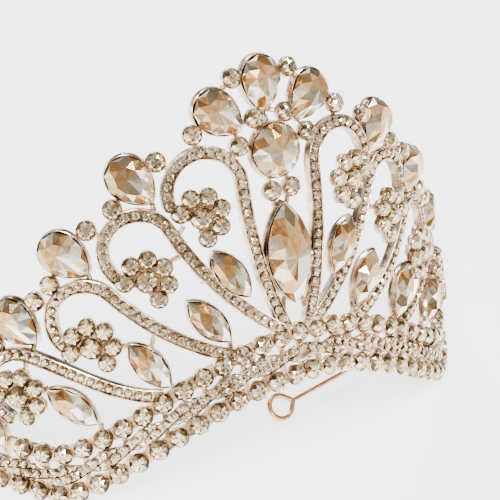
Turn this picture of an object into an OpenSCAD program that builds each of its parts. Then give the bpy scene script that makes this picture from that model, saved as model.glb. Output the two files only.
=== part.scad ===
// Crystal crown with a raised front, pear stones along its top edge, scrolls and two rows of round stones.
// Every piece is set out on an unrolled wall: u runs round the front from the centre line and v runs up it.
// The wall is part of a cylinder that leans back, and the band lies flat on a table from its sides to its ends.

/* [Wall] */
// Radius of the wall that carries the stones
wall_radius = 76; // [70:1:84]
// Angle by which the wall leans back
lean = 19.2; // [15:0.1:23]
// How far the top edge curls inwards, per square of the height above curl_start
top_curl = 0.0045; // [0:0.0005:0.006]
// Height up the wall at which the curl starts
curl_start = 45; // [40:1:50]

/* [Band] */
// Angle from one stone of a row to the next
stone_turn = 3.65; // [3.6:0.01:3.7]
// Round stones in each half of the lower row
half_count = 21; // [19:1:22]
// Height of the middle of the lower row's front above its sides
arch_rise = 25.9; // [20:0.1:28]
// Angle from the centre line at which the lower row reaches the table
arch_turn = 45.6; // [44:0.1:52]
// Distance up the wall from the lower row to the upper row
row_gap = 9.6; // [9.4:0.1:10]
// Width of the raised ribbon between the rows
ribbon_w = 3.9; // [3.4:0.1:4.2]
// Height of that ribbon over the band
ribbon_h = 0.6; // [0.4:0.1:1]
// Diameter of a cup of a row
row_cup_d = 4.9; // [4.8:0.05:5.2]
// Diameter of a round stone of a row
row_stone_d = 4.6; // [4.2:0.1:4.7]

/* [Metal] */
// Thickness of the back plate of a cup
plate_t = 1.4; // [1.2:0.1:1.6]
// Width of a scroll
scroll_w = 3.1; // [2.8:0.1:3.4]
// Thickness of a scroll
scroll_t = 1.6; // [1.4:0.1:1.8]
// Width of a tie bar
tie_w = 1.1; // [0.9:0.1:1.4]
// Metal that shows round a large stone
rim = 0.45; // [0.3:0.05:0.6]

/* [Stones] */
// Length of a pear
pear_l = 12.8; // [12:0.1:14]
// Width of a pear
pear_w = 9.8; // [9:0.1:10.5]
// Length of a navette between the scrolls
navette_l = 13.8; // [13:0.2:14.4]
// Width of a navette between the scrolls
navette_w = 6.6; // [6:0.2:7]
// Length of the large navette
centre_navette_l = 23.6; // [22:0.2:24]
// Width of the large navette
centre_navette_w = 11.6; // [10:0.2:12]
// Diameter of the large round stone
centre_round_d = 12; // [11:0.2:12.4]
// Diameter of a flower's middle stone
flower_d = 4.8; // [4.4:0.1:5]
// Diameter of a petal stone and of a single round stone
petal_d = 3.8; // [3.4:0.1:4]
// Distance of the petals from the middle of a flower
petal_ring = 4.85; // [4.7:0.05:5]
// Clearance between a stone and the metal behind it
seat_gap = 0.1; // [0.1:0.05:0.2]

/* [Pin wires] */
// Diameter of the wire
wire_d = 1.1; // [0.9:0.1:1.3]
// Outer diameter of the loop for a hair pin
loop_d = 7.4; // [6:0.2:8]
// Angle by which the loop leans over from upright
loop_lean = 51; // [40:1:55]
// Radius of the bend of the right wire, which is folded in
fold_r = 21; // [18:1:24]
// Angle of that bend
fold_turn = 62.2; // [56:0.2:66]
// Straight length of the right wire between its bend and its loop
fold_run = 44; // [36:0.1:46]
// Radius of the curve of the left wire, which follows the head
open_r = 68; // [60:1:76]
// Angle of that curve
open_turn = 44; // [30:1:50]
// Straight length of the left wire between its curve and its loop
open_run = 8.7; // [6:0.1:10]

/* [Hidden] */

// Distance round the wall from one row stone to the next
pitch = wall_radius * stone_turn * PI / 180;
// How far the band's edge lies from the middle of a row: between two stones, beside a stone and over it
scallop = [0.4, 0.87, 1, 0.87] * row_cup_d / 2;
// Back face of each kind of plate, out from the wall
band_out = -1;
pear_out = -2.5;
flower_out = 0.2;
centre_out = -1.7;
accent_out = -0.8;
// Back face of a tie bar inside each kind of plate and at the low tip of an upper pear, and its thickness
in_band = band_out + 0.2;
in_pear = pear_out + 0.25;
in_tip = pear_out - 0.7;
in_centre = centre_out + 0.25;
in_flower = flower_out + 0.2;
tie_t = 0.9;
// Sides of a cut round stone and of its cup, and points round a large stone
round_sides = 8;
cup_sides = 6;
outline_n = 10;
// Height of the row centres above the table, and the shift that brings the whole to the middle of its box
rest_lift = row_cup_d / 2 * cos(lean) - band_out * cos(arch_turn) * sin(lean);
centre_shift = 13.35;
// Upper row stones left out on each side for the tip of the last navette
skipped = [15, 16];
// Post at each end of the band for the pin wires, and the height of the wires above the table
post_x = 71.2;
post_y = -21.6 + centre_shift;
post_turn = 15;
post_l = 5;
post_d = 3;
// Sides of the wire, its thickness in the loop, where it is pressed fuller, and the loop's middle radius
wire_sides = 8;
loop_wire_d = wire_d + 2.5 * seat_gap;
loop_r = (loop_d - loop_wire_d) / 2;
wire_z = loop_r * cos(loop_lean) + loop_wire_d / 2;

// Pears of the right half. Columns: u, v, angle by which the tip turns in to the centre from straight down
PEARS = [
    [11.9, 62.9, 47],
    [33.7, 51.6, 37],
    [50.8, 36.9, 47],
    [64.9, 22.4, 44]];
pear_top_v = 67.7;
centre_round_v = 52.9;
centre_navette_v = 29.3;

// Scrolls of the right half. Columns: root u, root v, root direction, curl centre u, curl centre v,
// curl radius, angle at which the curl starts, angle at which it ends
SCROLLS = [
    [3.0, 12.5, 68, 18.0, 47.0, 8.6, 180, -21],
    [4.0, 11.8, 37, 34.3, 36.5, 7.9, 155, -60],
    [14.0, 8.0, 18, 48.1, 22.1, 8.0, 140, -50],
    [36.0, 3.0, 10, 65.8, 7.4, 8.1, 110, -70]];

// Flowers of the right half. Columns: u, v, direction away from the gap in the petals
FLOWERS = [
    [20.0, 41.7, 140],
    [33.6, 29.7, 124],
    [47.6, 16.2, 111],
    [66.1, 5.7, 132]];
petal_turn = 48;

// Navettes of the right half. Columns: u and v of the upper tip, u and v of the lower tip
NAVETTES = [
    [18.6, 33.7, 11.1, 21.6],
    [25.5, 23.4, 17.1, 12.7],
    [39.5, 15.7, 31.7, 4.8],
    [59.4, 7.2, 48.6, -1.7],
    [79.4, 5.0, 71.6, -6.4]];

// Single rounds of the right half. Columns: u, v
ACCENTS = [
    [7.6, 70.1],
    [4.0, 60.7],
    [8.9, 55.4],
    [19.1, 59.7],
    [28.0, 55.3],
    [38.7, 46.4],
    [45.0, 42.5],
    [55.0, 31.0],
    [59.0, 27.6],
    [70.5, 17.8],
    [2.5, 44.1]];

// Tie bars of the right half. Columns: u, v and back face of one end, then u, v and back face of the other
TIES = [
    [0.3, 61.9, in_tip, 4.0, 60.7, in_band],
    [4.0, 60.7, in_band, 8.0, 59.4, in_tip],
    [4.5, 70.0, in_pear, 7.6, 70.1, in_band],
    [7.6, 70.1, in_band, 9.9, 67.6, in_pear],
    [0, 61.6, in_tip, 0, 58.4, in_centre],
    [8.0, 59.2, in_tip, 8.9, 55.4, in_band],
    [8.9, 55.4, in_band, 5.4, 54.2, in_centre],
    [8.9, 55.4, in_band, 11, 52.5, in_band],
    [15.5, 61.5, in_tip, 19.1, 59.7, in_band],
    [19.1, 59.7, in_band, 18.3, 55.2, in_band],
    [28.0, 55.3, in_band, 30.3, 54.2, in_pear],
    [28.0, 55.3, in_band, 25, 52.9, in_band],
    [29.9, 47.2, in_tip, 29.7, 43.2, in_band],
    [36.2, 49.0, in_pear, 38.7, 46.4, in_band],
    [45.0, 42.5, in_band, 48.3, 40.4, in_pear],
    [45.0, 42.5, in_band, 42.2, 40.6, in_band],
    [46.6, 33.4, in_pear, 45.6, 29.4, in_band],
    [53.4, 33.9, in_pear, 55.0, 31.0, in_band],
    [59.0, 27.6, in_band, 62.2, 25.0, in_pear],
    [59.0, 27.6, in_band, 56.2, 25.8, in_band],
    [61.2, 18.4, in_pear, 62, 14.8, in_band],
    [67.6, 20.4, in_pear, 70.5, 17.8, in_band],
    [2.5, 44.1, in_band, 2.1, 47.6, in_centre],
    [2.5, 44.1, in_band, 1.3, 39.4, in_centre],
    [2, 20, in_centre, 3.5, 13, in_band],
    [21.2, 26.5, in_band, 21, 29, in_band],
    [25.5, 38, in_band, 24, 40.5, in_flower],
    [35.4, 11.4, in_band, 33.6, 17.4, in_band],
    [28.6, 32.9, in_flower, 25.4, 33.8, in_band],
    [42.6, 15.9, in_flower, 39.9, 15.2, in_band],
    [63.7, 11, in_flower, 63.7, 14.6, in_band],
    [17, 13, in_band, 17, 8.5, in_band],
    [74, 4, in_band, 76.5, 1.5, in_band],
    [31.7, 4.8, in_band, 29, 3, in_band],
    [48.5, -2.1, in_band, 48.4, -4, in_band],
    [59.4, 7.2, in_band, 60.5, 6.5, in_flower]];

// Height of the lower row's front above the table at an angle round the crown
function arch(a) = abs(a) >= arch_turn ? 0 : arch_rise * pow(cos(90 * a / arch_turn), 1.3);
// Height up the wall of the lower row, which is the slice of the leaning wall at that height
function row_v(a) = (arch(a) - wall_radius * cos(a) * sin(lean)) / cos(lean);
// How far the wall has curled in at a height
function curl(v) = top_curl * pow(max(0, v - curl_start), 2);
// Angle round the crown of a distance round the wall
function turn(u) = u / wall_radius * 180 / PI;
// Point at u and v, out from the wall
function wrap(u, v, out) =
    let (a = turn(u), r = wall_radius + out - curl(v), x = r * sin(a), y = -r * cos(a))
    [x, y * cos(lean) + v * sin(lean) + centre_shift, v * cos(lean) - y * sin(lean) + rest_lift];

// Places its children on the wall, with their XY plane against it and Z outwards
module on_wall(u, v, out)
    translate([0, centre_shift, rest_lift]) rotate([-lean, 0, 0]) rotate([0, 0, turn(u)])
        translate([0, -(wall_radius + out - curl(v)), v]) rotate([90, 0, 0]) children();

// Point of a cubic curve
function cubic(p0, p1, p2, p3, t) =
    pow(1 - t, 3) * p0 + 3 * t * pow(1 - t, 2) * p1 + 3 * t * t * (1 - t) * p2 + t * t * t * p3;
// Middle line of a scroll: a curved stem and then an arc over the top and down
function scroll_path(s) =
    let (c = [s[3], s[4]], p3 = c + s[5] * [cos(s[6]), sin(s[6])], p0 = [s[0], s[1]],
        reach = norm(p3 - p0) * 0.34,
        p1 = p0 + reach * [cos(s[2]), sin(s[2])], p2 = p3 - reach * [sin(s[6]), -cos(s[6])])
    concat([for (k = [0:5]) cubic(p0, p1, p2, p3, k / 6)],
        [for (k = [0:9]) let (a = s[6] + (s[7] - s[6]) * k / 9) c + s[5] * [cos(a), sin(a)]]);
// Middle line of the ribbon between the rows
function ribbon_path() =
    [for (k = [0.5 - half_count:half_count - 0.5]) [k * pitch, row_v(k * stone_turn) + row_gap / 2]];
// Sideways direction at a point of a path
function sideways(path, i) =
    let (d = path[min(i + 1, len(path) - 1)] - path[max(i - 1, 0)]) [-d[1], d[0]] / norm(d);

// Flat ribbon along a path on the wall
module ribbon(path, w, out, t)
    plank([for (i = [0:len(path) - 1]) path[i] + sideways(path, i) * w / 2],
        [for (i = [0:len(path) - 1]) path[i] - sideways(path, i) * w / 2], [for (p = path) out], t);
// Plank between two edges on the wall, with its own distance out from the wall at each pair of points
module plank(left, right, out, t) {
    n = len(left);
    points = [for (i = [0:n - 1]) each [wrap(left[i][0], left[i][1], out[i]),
        wrap(left[i][0], left[i][1], out[i] + t), wrap(right[i][0], right[i][1], out[i] + t),
        wrap(right[i][0], right[i][1], out[i])]];
    sides = [for (i = [0:n - 2], k = [0:3]) [4 * i + k, 4 * i + 4 + k, 4 * i + 4 + (k + 1) % 4,
        4 * i + (k + 1) % 4]];
    ends = [[0, 1, 2, 3], [4 * n - 1, 4 * n - 2, 4 * n - 3, 4 * n - 4]];
    polyhedron(points, concat(sides, ends));
}

// Outline of a navette: two arcs that meet in a point at each end
function navette(l, w, n) =
    let (r = (l * l + w * w) / (4 * w), a = asin(l / 2 / r))
    [for (k = [0:n - 1]) let (side = k < n / 2 ? 1 : -1, t = a - 2 * a * (k % (n / 2)) / (n / 2))
        side * [-(r * cos(t) - r + w / 2), r * sin(t)]];
// Outline of a pear with its tip down: a round whose width is drawn in towards the tip
function pear(l, w, n) =
    [for (k = [0:n - 1]) let (t = 360 * k / n) [w / 2 * sin(t) * sqrt(sin(t / 2)) / 0.862, -l / 2 * cos(t)]];

// Cut stone on an outline: a flat back, a girdle, two rows of crown facets and a table
module cut_stone(outline, h, middle = [0, 0]) {
    n = len(outline);
    // Share of the outline and share of the height of each ring
    rings = [[0.9, 0], [1, 0.25], [0.83, 0.66], [0.56, 1]];
    points = [for (r = rings, p = outline)
        [middle[0] + (p[0] - middle[0]) * r[0], middle[1] + (p[1] - middle[1]) * r[0], h * r[1]]];
    back = [for (k = [0:n - 1]) k];
    table = [for (k = [n - 1:-1:0]) 3 * n + k];
    sides = [for (j = [0:2], k = [0:n - 1]) [j * n + k, (j + 1) * n + k, (j + 1) * n + (k + 1) % n,
        j * n + (k + 1) % n]];
    polyhedron(points, concat([table], sides, [back]));
}

// Cut round stone with a flat back, eight facets and a table
module round_stone(d) cylinder(h = 0.34 * d, d1 = d, d2 = 0.56 * d, $fn = round_sides);
// Back plate of a round stone
module cup(d) cylinder(h = plate_t, d = d, $fn = cup_sides);

// Places its children at every stone of a row, except the one left out
module along_row(count, offset, rise, out)
    for (i = [-count:count])
        if (offset != 0 ? i != count : len([for (k = skipped) if (k == abs(i)) k]) == 0)
            on_wall((i + offset) * pitch, row_v((i + offset) * stone_turn) + rise, out) children();
module along_bottom(out) along_row(half_count, 0.5, 0, out) children();
module along_top(out) along_row(half_count - 1, 0, row_gap, out) children();

// Draws its children on the right half and again on the left half
module both_sides() {
    children();
    mirror([1, 0, 0]) children();
}
// Outline of a flower's back plate: three points over each petal and one between it and the next
function flower_outline(dir) =
    let (far = petal_ring + petal_d / 2 + rim / 2, wide = 15)
    concat([for (k = [-2.5:2.5], j = [-1:2]) let (a = dir + petal_turn * k + wide * j * (j < 2 ? 1 : 0.8),
            r = j == 0 ? far : j == 2 ? petal_ring : far - 0.45) if (k < 2.5 || j < 2) r * [cos(a), sin(a)]],
        [for (a = [dir + 150, dir + 180, dir + 210]) (flower_d / 2 + rim) * [cos(a), sin(a)]]);
// Places its children at a flower's petals
module petals(dir)
    for (k = [0:5]) rotate([0, 0, dir + petal_turn * (k - 2.5)]) translate([petal_ring, 0, 0]) children();
// Back plate of the two rows, with scalloped edges, four points to a stone
module band() {
    steps = [-4 * half_count:4 * half_count];
    plank([for (k = steps) [k * pitch / 4, row_v(k * stone_turn / 4) + row_gap
            + scallop[(k + 4 * half_count + 2) % 4]]],
        [for (k = steps) [k * pitch / 4, row_v(k * stone_turn / 4) - scallop[(k + 4 * half_count) % 4]]],
        [for (k = steps) band_out], plate_t);
}
// Bar behind the pieces from one point of the wall to another
module tie(t) {
    ends = [[t[0], t[1]], [t[3], t[4]]];
    s = sideways(ends, 0) * tie_w / 2;
    plank([for (e = ends) e + s], [for (e = ends) e - s], [t[2], t[5]], tie_t);
}
// Places its children in the middle of a navette, with its length along Y
module on_navette(n, out)
    on_wall((n[0] + n[2]) / 2, (n[1] + n[3]) / 2, out)
        rotate([0, 0, atan2(n[3] - n[1], n[2] - n[0]) + 90]) children();
// Places its children at the right end of the band, with Z back along the wire's axis
module at_post() translate([post_x, post_y, wire_z]) rotate([0, 0, -post_turn]) rotate([-90, 0, 0]) children();
// Post at the right end of the band, bored for the wire
module end_post() at_post() difference() {
    cylinder(h = post_l, d = post_d, center = true, $fn = 10);
    cylinder(h = post_l + 1, d = wire_d + 3 * seat_gap, center = true, $fn = 10);
}

module frame() color("#d9b09a") union() {
    band();
    ribbon(ribbon_path(), ribbon_w, band_out + 0.5, plate_t + ribbon_h - 0.5);
    on_wall(0, pear_top_v, pear_out) linear_extrude(plate_t)
        polygon(pear(pear_l + 2 * rim, pear_w + 2 * rim, outline_n));
    on_wall(0, centre_round_v, centre_out) cylinder(h = plate_t, d = centre_round_d + 2 * rim, $fn = outline_n);
    on_wall(0, centre_navette_v, centre_out) linear_extrude(plate_t)
        polygon(navette(centre_navette_l + 3 * rim, centre_navette_w + 2 * rim, outline_n));
    both_sides() {
        for (s = SCROLLS) ribbon(scroll_path(s), scroll_w, band_out + plate_t - scroll_t, scroll_t);
        for (p = PEARS) on_wall(p[0], p[1], pear_out) rotate([0, 0, -p[2]]) linear_extrude(plate_t)
            polygon(pear(pear_l + 2 * rim, pear_w + 2 * rim, outline_n));
        for (n = NAVETTES) on_navette(n, band_out) linear_extrude(plate_t)
            polygon(navette(navette_l + 3 * rim, navette_w + 2 * rim, outline_n));
        for (f = FLOWERS) on_wall(f[0], f[1], flower_out) linear_extrude(plate_t) polygon(flower_outline(f[2]));
        for (a = ACCENTS) on_wall(a[0], a[1], accent_out) cup(petal_d + 0.2);
        for (t = TIES) tie(t);
        end_post();
    }
}

module centre_round() color("#efe7da") on_wall(0, centre_round_v, centre_out + plate_t + seat_gap)
    cut_stone([for (k = [0:outline_n - 1]) let (a = 360 * k / outline_n)
        centre_round_d / 2 * [cos(a), sin(a)]], 3.6);
module centre_navette() color("#efe7da") on_wall(0, centre_navette_v, centre_out + plate_t + seat_gap)
    cut_stone(navette(centre_navette_l, centre_navette_w, outline_n), 4.2);
module pear_stone(u, v, tilt) color("#efe7da") on_wall(u, v, pear_out + plate_t + seat_gap)
    rotate([0, 0, -tilt]) cut_stone(pear(pear_l, pear_w, outline_n), 3.8, [0, pear_l * 0.12]);
module pear_centre() pear_stone(0, pear_top_v, 0);
module pear_right(i) pear_stone(PEARS[i - 1][0], PEARS[i - 1][1], PEARS[i - 1][2]);
module pear_left(i) pear_stone(-PEARS[i - 1][0], PEARS[i - 1][1], -PEARS[i - 1][2]);
module navette_right(i) color("#e9dccb") on_navette(NAVETTES[i - 1], band_out + plate_t + seat_gap)
    cut_stone(navette(navette_l, navette_w, outline_n), 2.8);
module navette_left(i) mirror([1, 0, 0]) navette_right(i);
module band_top_stones() color("#f2ece2") along_top(band_out + plate_t + seat_gap) round_stone(row_stone_d);
module band_bottom_stones() color("#f2ece2")
    along_bottom(band_out + plate_t + seat_gap) round_stone(row_stone_d);
module flower_stones_right() color("#f6f1e8")
    for (f = FLOWERS) on_wall(f[0], f[1], flower_out + plate_t + seat_gap) {
        round_stone(flower_d);
        petals(f[2]) round_stone(petal_d);
    }
module flower_stones_left() mirror([1, 0, 0]) flower_stones_right();
module accent_stones() color("#f6f1e8")
    both_sides() for (a = ACCENTS) on_wall(a[0], a[1], accent_out + plate_t + seat_gap) round_stone(petal_d);

// Wire of diameter d along a flat path, with a corner of its section at angle phase; a ring has no ends
module wire(path, d, phase = 0, ring = false) {
    n = len(path);
    points = [for (i = [0:n - 1])
        let (t = ring ? path[(i + 1) % n] - path[(i + n - 1) % n] : path[min(i + 1, n - 1)] - path[max(i - 1, 0)],
            side = [t[1], -t[0]] / norm(t))
        for (k = [0:wire_sides - 1]) let (a = phase + 360 * k / wire_sides)
            [each path[i] + d / 2 * cos(a) * side, d / 2 * sin(a)]];
    sides = [for (i = [0:n - (ring ? 1 : 2)], k = [0:wire_sides - 1])
        let (j = (i + 1) % n, m = (k + 1) % wire_sides)
        [i * wire_sides + m, j * wire_sides + m, j * wire_sides + k, i * wire_sides + k]];
    first = [for (k = [wire_sides - 1:-1:0]) k];
    last = [for (k = [0:wire_sides - 1]) (n - 1) * wire_sides + k];
    polyhedron(points, ring ? sides : concat(sides, [first, last]));
}
// Wire that starts at the origin along Y, bends towards X and ends in a loop that leans over the same way
module pin_wire(lead, bend_r, bend_turn, run) {
    bend = [for (k = [0:8]) let (t = bend_turn * k / 8) [bend_r * (1 - cos(t)), lead + bend_r * sin(t)]];
    end = bend[8] + run * [sin(bend_turn), cos(bend_turn)];
    wire(concat([[0, 0]], bend, [end]), wire_d);
    translate([end[0], end[1], 0]) rotate([0, 0, -bend_turn]) translate([0, loop_r, 0])
        rotate([0, loop_lean, 0]) rotate([0, 90, 0])
            wire([for (k = [0:11]) loop_r * [cos(30 * k), sin(30 * k)]], loop_wire_d, loop_lean, true);
}
module pin_wire_right() color("#e0b08c")
    translate([post_x, post_y, wire_z]) rotate([0, 0, 180 - post_turn]) translate([0, -post_l / 2, 0])
        pin_wire(post_l + 2, fold_r, fold_turn, fold_run);
module pin_wire_left() color("#e0b08c")
    translate([-post_x, post_y, wire_z]) rotate([0, 0, post_turn]) translate([0, -post_l / 2, 0])
        pin_wire(post_l + 2, open_r, open_turn, open_run);

frame();
centre_round();
centre_navette();
pear_centre();
pear_left(1);  // pear_left_1
pear_left(2);  // pear_left_2
pear_left(3);  // pear_left_3
pear_left(4);  // pear_left_4
pear_right(1);  // pear_right_1
pear_right(2);  // pear_right_2
pear_right(3);  // pear_right_3
pear_right(4);  // pear_right_4
navette_left(1);  // navette_left_1
navette_left(2);  // navette_left_2
navette_left(3);  // navette_left_3
navette_left(4);  // navette_left_4
navette_left(5);  // navette_left_5
navette_right(1);  // navette_right_1
navette_right(2);  // navette_right_2
navette_right(3);  // navette_right_3
navette_right(4);  // navette_right_4
navette_right(5);  // navette_right_5
band_top_stones();
band_bottom_stones();
flower_stones_left();
flower_stones_right();
accent_stones();
pin_wire_left();
pin_wire_right();
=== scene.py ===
import bpy
import numpy as np
from mathutils import Matrix, Vector


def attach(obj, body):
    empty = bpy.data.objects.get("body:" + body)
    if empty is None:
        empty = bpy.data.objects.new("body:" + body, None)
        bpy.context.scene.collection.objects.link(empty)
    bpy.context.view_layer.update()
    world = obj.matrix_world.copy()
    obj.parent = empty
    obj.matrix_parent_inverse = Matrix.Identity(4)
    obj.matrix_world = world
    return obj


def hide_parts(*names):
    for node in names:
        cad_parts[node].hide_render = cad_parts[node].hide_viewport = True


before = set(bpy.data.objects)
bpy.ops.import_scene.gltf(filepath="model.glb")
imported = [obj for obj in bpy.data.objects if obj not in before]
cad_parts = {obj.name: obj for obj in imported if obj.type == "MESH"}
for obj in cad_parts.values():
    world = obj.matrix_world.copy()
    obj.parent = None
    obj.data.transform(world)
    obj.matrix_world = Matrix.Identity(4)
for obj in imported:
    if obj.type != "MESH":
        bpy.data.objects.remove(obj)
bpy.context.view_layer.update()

# The band is one cast strip of rose-gold plated alloy, bent round the head.
# It is part of a cylinder that leans back, and its front rises in an arch between two low sides.
# Every piece is set out on this wall, u millimetres round from the centre line and v up from its middle.
wall_radius, lean = 76.0, np.radians(19.2)
curl_start, top_curl = 45.0, 0.0045
stone_turn, half_count = 3.65, 21
arch_rise, arch_turn, arch_power = 25.9, 45.6, 1.3
row_gap, row_cup_d = 9.6, 4.9
band_out, plate_t, seat_gap = -1.0, 1.4, 0.1
rest_lift = row_cup_d / 2 * np.cos(lean) - band_out * np.cos(np.radians(arch_turn)) * np.sin(lean)
centre_shift = 13.35
pitch = wall_radius * np.radians(stone_turn)
# Facet values are tones that carry painted light: backs get painted shade, darker than fronts, and metal is
# sharp where its faces turn by more
painted_back_shade, sharp_turn = -0.35, np.radians(42)
rng = np.random.default_rng(7)


def row_v(u):
    """Height of the lower row up the wall: an arch, a power of a cosine, less the leaning wall's slope."""
    a = np.asarray(u, float) / wall_radius
    share = np.clip(np.degrees(a) / arch_turn, -1, 1)
    rise = arch_rise * np.cos(np.pi / 2 * share) ** arch_power
    return (rise - wall_radius * np.cos(a) * np.sin(lean)) / np.cos(lean)


def lean_back(x, y, z):
    """Turns a point of the upright cylinder back about the X axis and lifts it onto the table."""
    return np.stack([x, y * np.cos(lean) + z * np.sin(lean) + centre_shift,
                     z * np.cos(lean) - y * np.sin(lean) + rest_lift], -1)


def wrap(u, v, out):
    """Point of the wall: u turns into an angle, v is its height, and out and the top's curl change r."""
    u, v, out = np.broadcast_arrays(np.asarray(u, float), v, out)
    a = u / wall_radius
    r = wall_radius + out - top_curl * np.maximum(0, v - curl_start) ** 2
    return lean_back(r * np.sin(a), -r * np.cos(a), v)


def even_profile(right):
    """Closed profile with its back edge first, from the points of its right half, which are mirrored."""
    right = np.asarray(right, float)
    return np.roll(np.concatenate([right, right[::-1] * [-1, 1]]), 1, axis=0)


def strip(path, profile, taper=None):
    """Closed profile of (sideways, out) points, back edge first, carried along a path of (u, v) points."""
    step = np.gradient(path, axis=0)
    side = np.stack([-step[:, 1], step[:, 0]], -1) / np.linalg.norm(step, axis=1)[:, None]
    taper = np.ones(len(path)) if taper is None else taper
    reach = taper[:, None] * profile[None, :, 0]
    points = wrap(path[:, :1] + side[:, :1] * reach, path[:, 1:] + side[:, 1:] * reach,
                  np.broadcast_to(profile[:, 1], reach.shape)).reshape(-1, 3)
    n, m = reach.shape
    i, k = np.meshgrid(np.arange(n - 1), np.arange(m), indexing="ij")
    j = (k + 1) % m
    quads = np.stack([i * m + k, i * m + j, (i + 1) * m + j, (i + 1) * m + k], -1).reshape(-1, 4)
    ends = np.stack([np.arange(m)[::-1], (n - 1) * m + np.arange(m)])
    # The back face of the strip is darkened as painted shade.
    return points, [quads, ends], [np.where(k == 0, painted_back_shade, 0).ravel(), 0]


def make_piece(name, blocks, finish, slot_name, *replaced):
    """Joins blocks of points in millimetres, faces and facet values into a mesh that rides on the part."""
    starts = np.cumsum([0] + [len(b[0]) for b in blocks])
    points = np.concatenate([b[0] for b in blocks]) * 0.001
    faces = [f + s for b, s in zip(blocks, starts) for f in b[1]]
    corners = np.concatenate([f.ravel() for f in faces])
    counts = np.concatenate([np.full(len(f), f.shape[1]) for f in faces])
    values = np.concatenate([np.broadcast_to(v, len(f)) for b in blocks for f, v in zip(b[1], b[2])])
    mesh = bpy.data.meshes.new(name)
    mesh.vertices.add(len(points))
    mesh.vertices.foreach_set("co", points.astype(np.float32).ravel())
    mesh.loops.add(len(corners))
    mesh.loops.foreach_set("vertex_index", corners.astype(np.int32))
    mesh.polygons.add(len(counts))
    mesh.polygons.foreach_set("loop_start", np.concatenate([[0], np.cumsum(counts)[:-1]]).astype(np.int32))
    mesh.update(calc_edges=True)
    mesh.attributes.new("facet", "FLOAT", "FACE").data.foreach_set("value", values.astype(np.float32))
    mesh.materials.append(finish)
    if "crystal" in slot_name:
        mesh.shade_flat()
    else:
        mesh.set_sharp_from_angle(angle=sharp_turn)
    piece = bpy.data.objects.new(name, mesh)
    bpy.context.scene.collection.objects.link(piece)
    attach(piece, "root")
    if replaced:
        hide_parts(*replaced)
    return piece


def srgb(r, g, b):
    """Linear colour of a colour written as three bytes."""
    c = np.array([r, g, b]) / 255
    return (*np.where(c < 0.04045, c / 12.92, ((c + 0.055) / 1.055) ** 2.4), 1.0)


def plated_metal(name, pale, deep, roughness, grain):
    """Plated metal: its tone drifts between two colours, is deeper on backs as painted shade, and its skin
    is uneven.
    """
    finish = bpy.data.materials.new(name)
    finish.use_nodes = True
    nodes, links = finish.node_tree.nodes, finish.node_tree.links
    shader = nodes["Principled BSDF"]
    shader.inputs["Metallic"].default_value = 1.0
    where = nodes.new("ShaderNodeTexCoord")
    drift = nodes.new("ShaderNodeTexNoise")
    drift.inputs["Scale"].default_value = 260
    drift.inputs["Detail"].default_value = 3
    facet = nodes.new("ShaderNodeAttribute")
    facet.attribute_name = "facet"
    # The drift is the metal's own uneven tone, and the facet values add the painted back shade to it.
    drift_and_shade = nodes.new("ShaderNodeMath")
    drift_and_shade.operation = "ADD"
    tone = nodes.new("ShaderNodeValToRGB")
    tone.color_ramp.elements[0].position, tone.color_ramp.elements[0].color = 0.36, deep
    tone.color_ramp.elements[1].position, tone.color_ramp.elements[1].color = 0.62, pale
    rough = nodes.new("ShaderNodeMapRange")
    rough.inputs["To Min"].default_value = roughness * 0.7
    rough.inputs["To Max"].default_value = roughness * 1.4
    cast = nodes.new("ShaderNodeTexNoise")
    cast.inputs["Scale"].default_value = 1400
    bump = nodes.new("ShaderNodeBump")
    bump.inputs["Strength"].default_value = grain
    bump.inputs["Distance"].default_value = 0.0002
    links.new(where.outputs["Object"], drift.inputs["Vector"])
    links.new(where.outputs["Object"], cast.inputs["Vector"])
    links.new(drift.outputs["Fac"], drift_and_shade.inputs[0])
    links.new(facet.outputs["Fac"], drift_and_shade.inputs[1])
    links.new(drift_and_shade.outputs["Value"], tone.inputs["Fac"])
    links.new(tone.outputs["Color"], shader.inputs["Base Color"])
    links.new(drift.outputs["Fac"], rough.inputs["Value"])
    links.new(rough.outputs["Result"], shader.inputs["Roughness"])
    links.new(cast.outputs["Fac"], bump.inputs["Height"])
    links.new(bump.outputs["Normal"], shader.inputs["Normal"])
    return finish


cast_metal = plated_metal("cast_rose_gold", srgb(230, 194, 156), srgb(112, 90, 66), 0.26, 0.5)

# Half widths of the strip under a row, of the spine between the rows and of a bridge from row to row
row_edge, spine_edge, bridge_edge = row_cup_d / 2 * 0.62, 0.9, 0.6
strip_top, bridge_top, bridge_back, bridge_inset = 0.2, 0.1, band_out + 0.1, 1.2
band_u = np.arange(-4 * half_count, 4 * half_count + 0.5, 0.5) * pitch / 4
lower_path = np.stack([band_u, row_v(band_u)], -1)
row_profile = even_profile([[row_edge, band_out], [row_edge, strip_top]])
spine_profile = even_profile([[spine_edge, bridge_back], [spine_edge, strip_top]])
bridge_profile = even_profile([[bridge_edge, bridge_back], [bridge_edge, bridge_top]])
bridge_ends = np.array([bridge_inset, row_gap - bridge_inset])
bridges = [strip(np.stack([[u, u], row_v(u) + bridge_ends], -1), bridge_profile)
           for u in np.arange(-half_count + 1, half_count) * pitch]
band_blocks = [strip(lower_path, row_profile), strip(lower_path + [0, row_gap], row_profile),
               strip(lower_path + [0, row_gap / 2], spine_profile), *bridges]
make_piece("band_strip", band_blocks, cast_metal, "crown_metal", "frame")


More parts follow.
